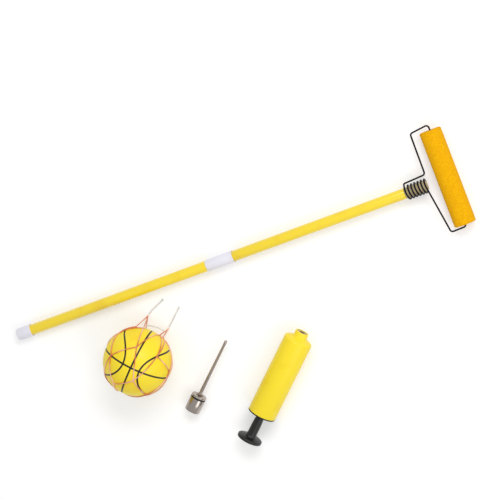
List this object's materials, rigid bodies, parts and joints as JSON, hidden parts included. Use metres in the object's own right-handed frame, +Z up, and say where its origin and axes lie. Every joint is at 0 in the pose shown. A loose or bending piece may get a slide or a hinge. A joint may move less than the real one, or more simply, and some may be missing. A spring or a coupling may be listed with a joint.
{
  "type": "tetherball set",
  "caption": "Small tetherball set: sectional pole with a foam roller on a wire frame, ball in a cord net, hand pump and inflating needle, laid out flat.",
  "frame": {"origin": "on the surface that the set lies on, under the middle of its box", "axes": "+X across the layout, along its longest side, from the pole's foot to its roller; +Y across it; +Z up"},
  "size_m": [0.698, 0.4821, 0.1028],
  "materials": {
    "yellow_painted_metal": "satin paint",
    "yellow_rubber": "smooth",
    "yellow_plastic": "matt",
    "white_plastic": "satin",
    "ivory_plastic": "satin",
    "black_plastic": "satin",
    "black_rubber": "matt",
    "spring_steel": "oil blackened",
    "nickel_plate": "polished",
    "brass": "turned",
    "amber_foam": "fine open-cell foam",
    "net_cord": "twisted cord",
    "white_cord": "braided cord"
  },
  "bodies": {
    "pole_upper": {"upper_tube": "yellow_painted_metal", "coupling_sleeve": "white_plastic"},
    "pole_lower": {"lower_tube": "yellow_painted_metal", "end_cap": "white_plastic"},
    "tip": {"tip_plug": "ivory_plastic"},
    "frame": {"wire_frame": "spring_steel"},
    "roller": {"roller_foam": "amber_foam", "roller_core": "white_plastic", "roller_bush_far": "black_plastic", "roller_bush_near": "black_plastic"},
    "ball": {"ball_shell": "yellow_rubber", "ball_valve": "black_rubber", "ball_net": "net_cord", "drawstring": "white_cord", "string_left": "white_cord", "string_right": "white_cord"},
    "needle": {"needle_base": "nickel_plate", "needle_seal": "black_rubber", "needle_tube": "nickel_plate"},
    "pump": {"pump_barrel": "yellow_plastic", "pump_end_cap": "black_plastic", "nozzle_insert": "brass", "outlet_valve": "black_rubber"},
    "plunger": {"piston": "white_plastic", "piston_seal": "black_rubber", "piston_nut": "brass", "piston_rod": "spring_steel", "pump_handle": "black_plastic"}
  },
  "joints": [
    {"name": "pole_pull_apart", "type": "slide", "parent": "pole_upper", "child": "pole_lower", "axis": [-0.9284, -0.3713, -0.0099], "range_m": [0, 0.019]},
    {"name": "tip_pull_out", "type": "slide", "parent": "pole_upper", "child": "tip", "axis": [0.9284, 0.3713, 0.0099], "range_m": [0, 0.029]},
    {"name": "frame_swivel", "type": "hinge", "parent": "tip", "child": "frame", "pos_m": [0.25093, 0.14375, 0.01578], "axis": [0.9284, 0.3713, 0.0099], "continuous": true},
    {"name": "roller_spin", "type": "hinge", "parent": "frame", "child": "roller", "pos_m": [0.30822, 0.16774, 0.0164], "axis": [-0.3714, 0.9285, 0], "continuous": true},
    {"name": "ball_lift", "type": "slide", "parent": "pole_upper", "child": "ball", "axis": [0, 0, 1], "range_m": [0, 0.25]},
    {"name": "needle_lift", "type": "slide", "parent": "pole_upper", "child": "needle", "axis": [0, 0, 1], "range_m": [0, 0.25]},
    {"name": "pump_lift", "type": "slide", "parent": "pole_upper", "child": "pump", "axis": [0, 0, 1], "range_m": [0, 0.25]},
    {"name": "pump_stroke", "type": "slide", "parent": "pump", "child": "plunger", "axis": [-0.4368, -0.8996, 0], "range_m": [0, 0.1]}
  ]
}
